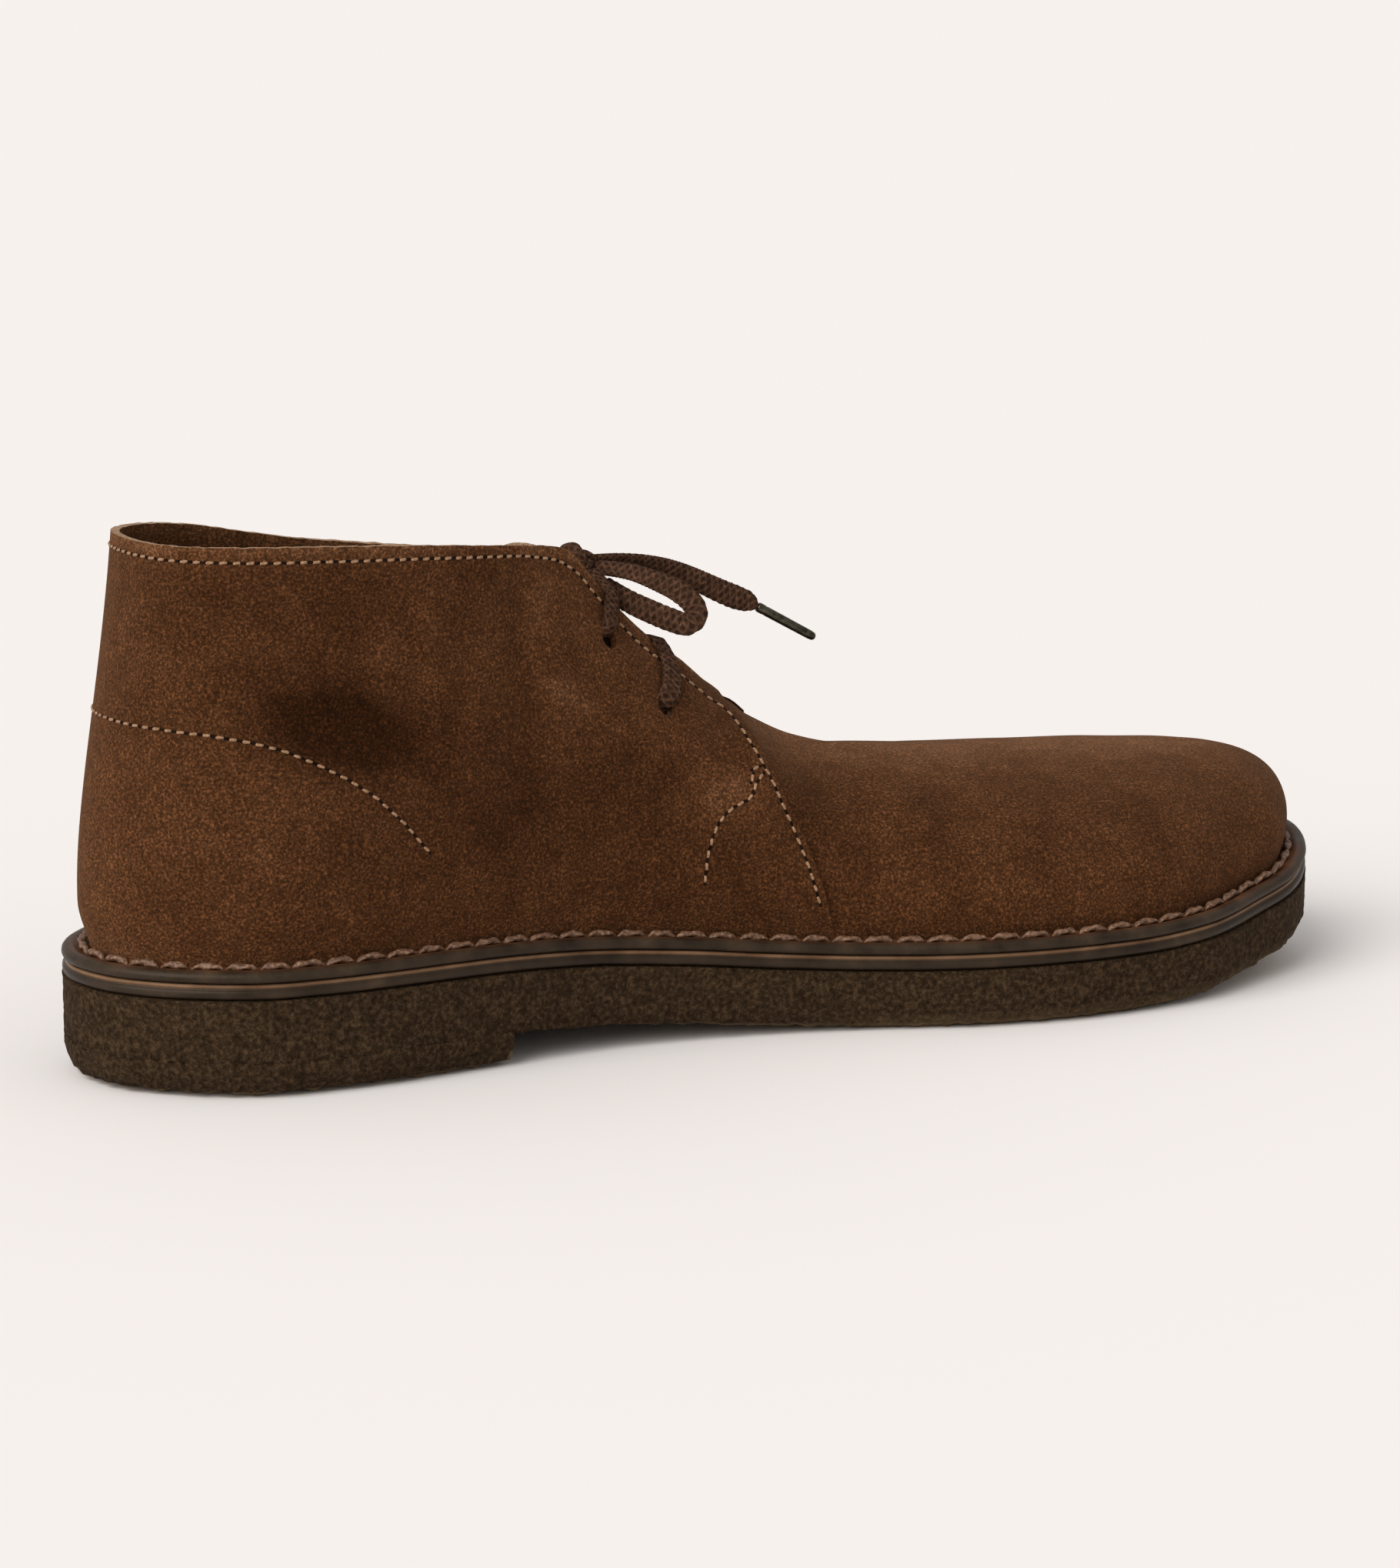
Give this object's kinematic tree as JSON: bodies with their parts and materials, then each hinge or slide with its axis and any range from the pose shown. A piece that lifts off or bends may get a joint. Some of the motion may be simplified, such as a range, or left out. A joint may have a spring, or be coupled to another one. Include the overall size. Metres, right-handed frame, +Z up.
{
  "type": "desert boot",
  "caption": "Low suede desert boot with a crepe sole, laced through punched eyelets and tied in a bow, standing empty.",
  "frame": {"origin": "on the ground, under the middle of the boot's box", "axes": "+X from the heel to the toe, +Y to the boot's outer side, +Z up"},
  "size_m": [0.3, 0.1084, 0.1137],
  "materials": {
    "suede": "napped brown suede with a raw cut edge",
    "crepe": "rough crepe rubber, side stained dark, underside honey tan",
    "midsole_leather": "waxed dark brown edge",
    "welt_leather": "burnished dark brown",
    "insole_leather": "smooth natural leather",
    "lace": "braided cotton",
    "aglet": "dark glossy tip"
  },
  "bodies": {
    "root": {"heel_lift": "crepe", "outsole": "crepe", "midsole": "midsole_leather", "welt": "welt_leather", "insole": "insole_leather", "upper": "suede", "tongue": "suede", "lace_lower": "lace", "strand_near": "lace", "strand_far": "lace", "lace_knot": "lace", "loop_near": "lace", "loop_far": "lace", "end_near": "lace", "end_far": "lace", "aglet_near": "aglet", "aglet_far": "aglet"}
  },
  "joints": []
}
